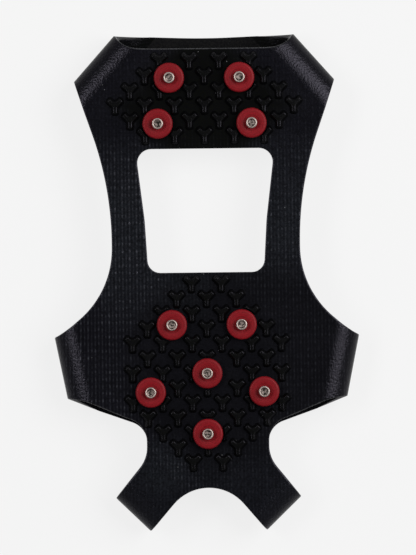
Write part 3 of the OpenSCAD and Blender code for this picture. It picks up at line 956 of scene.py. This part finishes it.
def lattice_tree():
    """Lugs on the points of a lattice that lie in a diamond, cut back round the stud discs."""
    tree = bpy.data.node_groups.new("tread_lattice", "GeometryNodeTree")
    given, out = node_inputs(tree, [
        ("Lug", "Object"), ("Seats", "Object"), ("Step", "Float"), ("Columns", "Int"), ("First row", "Int"),
        ("Last row", "Int"), ("Reach", "Int"), ("Odd", "Int"), ("Middle", "Vector"), ("Seat radius", "Float"),
        ("Material", "Material")])
    value = given.outputs
    across = math_node(tree, "MULTIPLY", value["Reach"], 2.0)
    count = math_node(tree, "ADD", across, 1.0)
    span = math_node(tree, "MULTIPLY", across, value["Step"])
    grid = add(tree, "GeometryNodeMeshGrid", {"Size X": span, "Size Y": span, "Vertices X": count,
                                              "Vertices Y": count})
    place = add(tree, "ShaderNodeSeparateXYZ", {0: add(tree, "GeometryNodeInputPosition")})
    column = math_node(tree, "ROUND", math_node(tree, "DIVIDE", place.outputs["X"], value["Step"]))
    row = math_node(tree, "ROUND", math_node(tree, "DIVIDE", place.outputs["Y"], value["Step"]))
    far_column, far_row = math_node(tree, "ABSOLUTE", column), math_node(tree, "ABSOLUTE", row)
    parity = math_node(tree, "FLOORED_MODULO", math_node(tree, "ADD", column, row), 2.0)
    reach = math_node(tree, "ADD", far_column, far_row)
    outside = [
        math_node(tree, "GREATER_THAN", reach, math_node(tree, "ADD", value["Reach"], 0.5)),
        math_node(tree, "GREATER_THAN", far_column, math_node(tree, "ADD", value["Columns"], 0.5)),
        math_node(tree, "LESS_THAN", row, math_node(tree, "SUBTRACT", value["First row"], 0.5)),
        math_node(tree, "GREATER_THAN", row, math_node(tree, "ADD", value["Last row"], 0.5)),
        math_node(tree, "GREATER_THAN",
                  math_node(tree, "ABSOLUTE", math_node(tree, "SUBTRACT", parity, value["Odd"])), 0.5),
    ]
    left_out = outside[0]
    for test in outside[1:]:
        left_out = math_node(tree, "MAXIMUM", left_out, test)
    kept = add(tree, "GeometryNodeDeleteGeometry", {"Geometry": grid.outputs["Mesh"], "Selection": left_out},
               domain="POINT")
    moved = add(tree, "GeometryNodeSetPosition", {"Geometry": kept, "Offset": value["Middle"]})
    lug = add(tree, "GeometryNodeObjectInfo", {"Object": value["Lug"]})
    lugs = add(tree, "GeometryNodeInstanceOnPoints", {"Points": moved, "Instance": lug.outputs["Geometry"]})
    seats = add(tree, "GeometryNodeObjectInfo", {"Object": value["Seats"]})
    cutter = add(tree, "GeometryNodeMeshCylinder", {"Vertices": HOLE_SIDES, "Radius": value["Seat radius"],
                                                    "Depth": CUTTER_DEPTH})
    cutters = add(tree, "GeometryNodeInstanceOnPoints",
                  {"Points": seats.outputs["Geometry"], "Instance": cutter.outputs["Mesh"]})
    cut = add(tree, "GeometryNodeMeshBoolean",
              {"Mesh 1": add(tree, "GeometryNodeRealizeInstances", {0: lugs}),
               "Mesh 2": add(tree, "GeometryNodeRealizeInstances", {0: cutters})},
              operation="DIFFERENCE")
    return end_tree(tree, cut.outputs["Mesh"], value["Material"], out)


def points_object(name, places):
    """An object that is only points, for a tree to read."""
    mesh = bpy.data.meshes.new(name)
    mesh.from_pydata(places, [], [])
    return placed(name, mesh)


def grown(name, tree, values):
    """Runs a tree with values for its named inputs and returns the result as a plain mesh object."""
    holder = points_object(f"{name}_tree", [])
    modifier = holder.modifiers.new(name, "NODES")
    modifier.node_group = tree
    for item in tree.interface.items_tree:
        if item.in_out == "INPUT":
            modifier[item.identifier] = values[item.name]
    shaped = holder.evaluated_get(bpy.context.evaluated_depsgraph_get())
    mesh = bpy.data.meshes.new_from_object(shaped)
    mesh.name = name
    bpy.data.objects.remove(holder)
    return placed(name, mesh)


def stud_points(name, studs, z):
    """Points at a height over the middles of some studs."""
    return points_object(name, [(*stud_place(stud), z) for stud in studs])


lug = lug_shape()
lattice = lattice_tree()
disc_low, disc_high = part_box("toe_disc")
seat_radius = (disc_high.x - disc_low.x) / 2 + DISC_MARGIN
pads = [("forefoot", forefoot_studs, FOREFOOT_LATTICE), ("heel", heel_studs, HEEL_LATTICE)]
for body, studs, layout in pads:
    seats = stud_points("seats", studs, tread_z)
    lugs = grown(f"{body}_lugs", lattice, {
        "Lug": lug, "Seats": seats, "Step": LUG_STEP, "Columns": layout["columns"],
        "First row": layout["rows"][0], "Last row": layout["rows"][1], "Reach": layout["reach"],
        "Odd": layout["odd"], "Middle": (0.0, layout["middle"] * MM, tread_z), "Seat radius": seat_radius,
        "Material": plain_rubber})
    lugs.data.shade_smooth()
    lugs.data.set_sharp_from_angle(angle=SHARP_ANGLE)
    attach(lugs, body)
    bpy.data.objects.remove(seats)
bpy.data.objects.remove(lug)


# The stud discs
# Ten washers of red plastic, turned smooth with a rounded rim, one pressed flat on the tread under
# each stud. The bore has a chamfer, which shows as a dark ring round the pin.
DISC_SECTION = [(2.1, 0.0), (2.1, 2.45), (2.75, 3.0), (5.55, 3.0), (5.95, 2.93), (6.28, 2.72), (6.45, 2.4),
                (6.5, 2.05), (6.5, 0.3), (6.3, 0.0)]
DISC_RED = (0.214, 0.0056, 0.0106, 1)
DISC_DEEP = (0.132, 0.0042, 0.0066, 1)
RING_WIDTH = 0.6
DISC_GRAIN = 0.7
DISC_CLOUD = 3
DISC_BLOTCH = (0.8, 1.2)
DISC_TINTED = 0.3
DISC_ROUGH = (0.38, 0.55)
DISC_SHINE = 0.14
MARK_STRENGTH = 0.6
MARK_DEPTH = 0.05 * MM
TURN_SIDES = 48
STUD_SEED = 4


def turned(name, section, finish, label, values):
    """A turned piece at the origin from the (radius, height) points of its section in millimetres,
    which runs from axis to axis or round a closed ring. Each point carries a value under a label."""
    bm = bmesh.new()
    layer = bm.verts.layers.float.new(label)
    rings = []
    for number, (r, z) in enumerate(section):
        sides = TURN_SIDES if r else 1
        ring = []
        for k in range(sides):
            a = math.tau * k / sides
            vert = bm.verts.new((r * math.cos(a) * MM, r * math.sin(a) * MM, z * MM))
            vert[layer] = values[number]
            ring.append(vert)
        rings.append(ring)
    closed = len(rings[0]) > 1
    for a, b in zip(rings, rings[1:] + (rings[:1] if closed else [])):
        for k in range(TURN_SIDES):
            j = (k + 1) % TURN_SIDES
            corners = [a[k % len(a)], a[j % len(a)], b[j % len(b)], b[k % len(b)]]
            bm.faces.new(list(dict.fromkeys(corners)))
    return finish_mesh(bm, name, finish)


def stud_tree():
    """One shape on each stud place, each turned its own way and with its own tint. On a Random Value
    node the input 3 is the most, and the output 1 the result, of a plain number."""
    tree = bpy.data.node_groups.new("stud_places", "GeometryNodeTree")
    given, out = node_inputs(tree, [("Shape", "Object"), ("Places", "Object"), ("Seed", "Int"),
                                    ("Material", "Material")])
    shape = add(tree, "GeometryNodeObjectInfo", {"Object": given.outputs["Shape"]})
    places = add(tree, "GeometryNodeObjectInfo", {"Object": given.outputs["Places"]})
    turn = add(tree, "FunctionNodeRandomValue", {"Seed": given.outputs["Seed"], 3: math.tau},
               data_type="FLOAT")
    angle = add(tree, "ShaderNodeCombineXYZ", {"Z": turn.outputs[1]})
    shapes = add(tree, "GeometryNodeInstanceOnPoints",
                 {"Points": places.outputs["Geometry"], "Instance": shape.outputs["Geometry"],
                  "Rotation": angle})
    tint = add(tree, "FunctionNodeRandomValue", {"Seed": given.outputs["Seed"]}, data_type="FLOAT")
    tinted = add(tree, "GeometryNodeStoreNamedAttribute",
                 {"Geometry": shapes, "Name": "tint", "Value": tint.outputs[1]},
                 data_type="FLOAT", domain="INSTANCE")
    return end_tree(tree, tinted, given.outputs["Material"], out)


def at_studs(shape, kind, z, finish):
    """Puts a turned shape at every stud, one piece for each pad, in place of the plain ones."""
    for body, studs, _ in pads:
        places = stud_points("places", studs, z)
        group = grown(f"{body}_{kind}s", studs_tree, {"Shape": shape, "Places": places, "Seed": STUD_SEED,
                                                      "Material": finish})
        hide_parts(*(f"{stud}_{kind}" for stud in studs))
        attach(group, body)
        bpy.data.objects.remove(places)
    bpy.data.objects.remove(shape)


disc_plastic, tree, shader = new_finish("red_plastic")
surface = add(tree, "ShaderNodeGroup", {"Grain size": DISC_GRAIN, "Cloud size": DISC_CLOUD},
              node_tree=surface_group)
rings = add(tree, "ShaderNodeTexNoise",
            {"W": attribute(tree, "radius"), "Scale": 1 / RING_WIDTH, "Detail": 1}, noise_dimensions="1D")
blotch = math_node(tree, "ADD", rings.outputs["Fac"], surface.outputs["Grain"])
patchy = mix_colour(tree, ranged(tree, blotch, 0, 1, *DISC_BLOTCH), DISC_DEEP, DISC_RED)
tinted = math_node(tree, "MULTIPLY", attribute(tree, "tint"), DISC_TINTED)
red = mix_colour(tree, tinted, patchy, DISC_DEEP)
bump = add(tree, "ShaderNodeBump", {"Height": blotch, "Strength": MARK_STRENGTH, "Distance": MARK_DEPTH})
shader.inputs["Specular IOR Level"].default_value = DISC_SHINE
dress(tree, shader, red, ranged(tree, surface.outputs["Cloud"], *DISC_ROUGH), bump)

studs_tree = stud_tree()
disc_shape = turned("disc_shape", DISC_SECTION, disc_plastic, "radius", [r for r, z in DISC_SECTION])
at_studs(disc_shape, "disc", tread_z, disc_plastic)


# The studs
# Hardened steel rivets. The head lies on the foot side, the shank runs through sole and disc, and the
# tip stands proud of the disc with a ground lip round a rough sunken cup.
CUP_SECTION = [(0, 4.76), (0.45, 4.72), (0.85, 4.78), (1.2, 4.82), (1.45, 4.96), (1.58, 5.2)]
TIP_SECTION = [(1.68, 5.38), (1.82, 5.48), (1.98, 5.5), (2.16, 5.46), (2.32, 5.34), (2.4, 5.1), (2.4, 3.05),
               (2.0, 2.9)]
HEAD_SECTION = [(2.0, -2.0), (3.7, -2.0), (3.95, -2.12), (4.0, -2.4), (3.9, -2.85), (3.6, -3.0), (0, -3.0)]
stud_section = CUP_SECTION + TIP_SECTION + HEAD_SECTION
in_cup = [1.0] * len(CUP_SECTION) + [0.0] * (len(TIP_SECTION) + len(HEAD_SECTION))
STEEL_BRIGHT = (0.43, 0.352, 0.32, 1)
STEEL_DULL = (0.025, 0.023, 0.019, 1)
PIT_SIZE = 1.2
PIT_EDGE = (0.42, 0.58)
PIT_DULL = (0.3, 1)
PIT_STRENGTH = 0.8
PIT_DEPTH = 0.12 * MM
STUD_ROUGH = (0.5, 0.6)

stud_steel, tree, shader = new_finish("stud_steel")
surface = add(tree, "ShaderNodeGroup", {"Cloud size": PIT_SIZE}, node_tree=surface_group)
cup = attribute(tree, "cup")
pitted = ranged(tree, surface.outputs["Cloud"], *PIT_DULL, *PIT_EDGE)
steel = mix_colour(tree, math_node(tree, "MULTIPLY", cup, pitted), STEEL_BRIGHT, STEEL_DULL)
bump = add(tree, "ShaderNodeBump",
           {"Height": surface.outputs["Cloud"], "Strength": PIT_STRENGTH, "Distance": PIT_DEPTH})
shader.inputs["Metallic"].default_value = 1
dress(tree, shader, steel, ranged(tree, cup, *STUD_ROUGH), bump)
stud_shape = turned("stud_shape", stud_section, stud_steel, "cup", in_cup)
at_studs(stud_shape, "stud", tread_z, stud_steel)


# The backing washers
# Plain punched steel washers between each stud's head and the rubber, let into the foot side so that
# the head can't pull through.
WASHER_STEEL = (0.42, 0.42, 0.43, 1)
WASHER_WORN = (0.30, 0.30, 0.31, 1)
WASHER_CLOUD = 2.5
WASHER_ROUGH = (0.28, 0.5)
SCRATCH_STRENGTH = 0.4
SCRATCH_DEPTH = 0.02 * MM
washer_steel, tree, shader = new_finish("washer_steel")
surface = add(tree, "ShaderNodeGroup", {"Cloud size": WASHER_CLOUD}, node_tree=surface_group)
steel = mix_colour(tree, surface.outputs["Cloud"], WASHER_STEEL, WASHER_WORN)
bump = add(tree, "ShaderNodeBump",
           {"Height": surface.outputs["Grain"], "Strength": SCRATCH_STRENGTH, "Distance": SCRATCH_DEPTH})
shader.inputs["Metallic"].default_value = 1
dress(tree, shader, steel, ranged(tree, surface.outputs["Cloud"], *WASHER_ROUGH), bump)
for stud in heel_studs + forefoot_studs:
    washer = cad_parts[f"{stud}_washer"]
    for place in washer.material_slots:
        place.material = washer_steel
